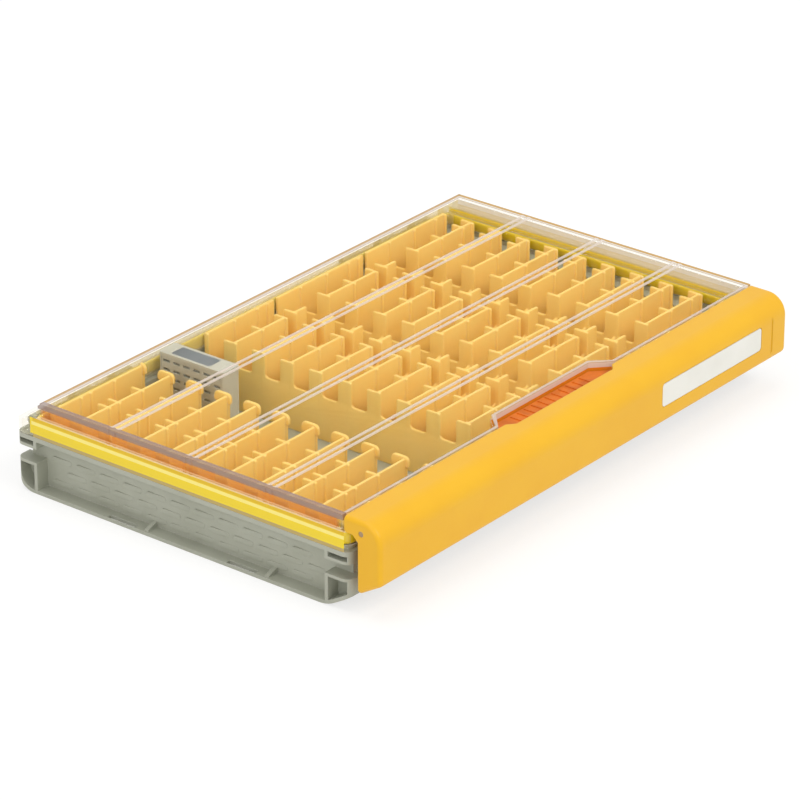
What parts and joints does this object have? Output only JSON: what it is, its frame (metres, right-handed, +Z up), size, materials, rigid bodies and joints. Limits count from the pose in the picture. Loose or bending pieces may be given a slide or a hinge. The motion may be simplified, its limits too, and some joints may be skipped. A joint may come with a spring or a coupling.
{
  "type": "tackle utility box",
  "caption": "Shallow tackle box: grey tray with notched yellow cradles, clear hinged lid with a seal, and a full-length yellow latch bar.",
  "frame": {"origin": "on the standing face, below the middle of the closed box", "axes": "+X along the latch bar to its label end, +Y from the latch bar to the hinges, +Z up"},
  "size_m": [0.356, 0.2454, 0.054],
  "materials": {
    "grey_tray": "fine satin moulding",
    "steel_pin": "drawn",
    "yellow_cradle": "satin",
    "grey_divider": "satin",
    "wick": "felt",
    "dark_plate": "satin",
    "clear_lid": "clear, polished",
    "yellow_seal": "smooth",
    "yellow_latch": "satin",
    "orange_pad": "satin",
    "white_label": "smooth"
  },
  "bodies": {
    "base": {"base_tray": "grey_tray", "hinge_pin_left": "steel_pin", "hinge_pin_right": "steel_pin", "insert_left": "yellow_cradle", "insert_right": "yellow_cradle", "divider_body": "grey_divider", "divider_louvre": "grey_divider", "wick_pad": "wick", "divider_label": "dark_plate"},
    "lid": {"lid_shell": "clear_lid", "lid_seal": "yellow_seal"},
    "latch": {"latch_bar": "yellow_latch", "latch_pin_left": "steel_pin", "latch_pin_right": "steel_pin", "thumb_pad": "orange_pad", "latch_label": "white_label"}
  },
  "joints": [
    {"name": "lid_hinge", "type": "hinge", "parent": "base", "child": "lid", "pos_m": [0, 0.11975, 0.036], "axis": [-1, 0, 0], "range_deg": [0, 105]},
    {"name": "latch_rock", "type": "hinge", "parent": "lid", "child": "latch", "pos_m": [0, -0.11035, 0.0471], "axis": [-1, 0, 0], "range_deg": [0, 7]}
  ]
}
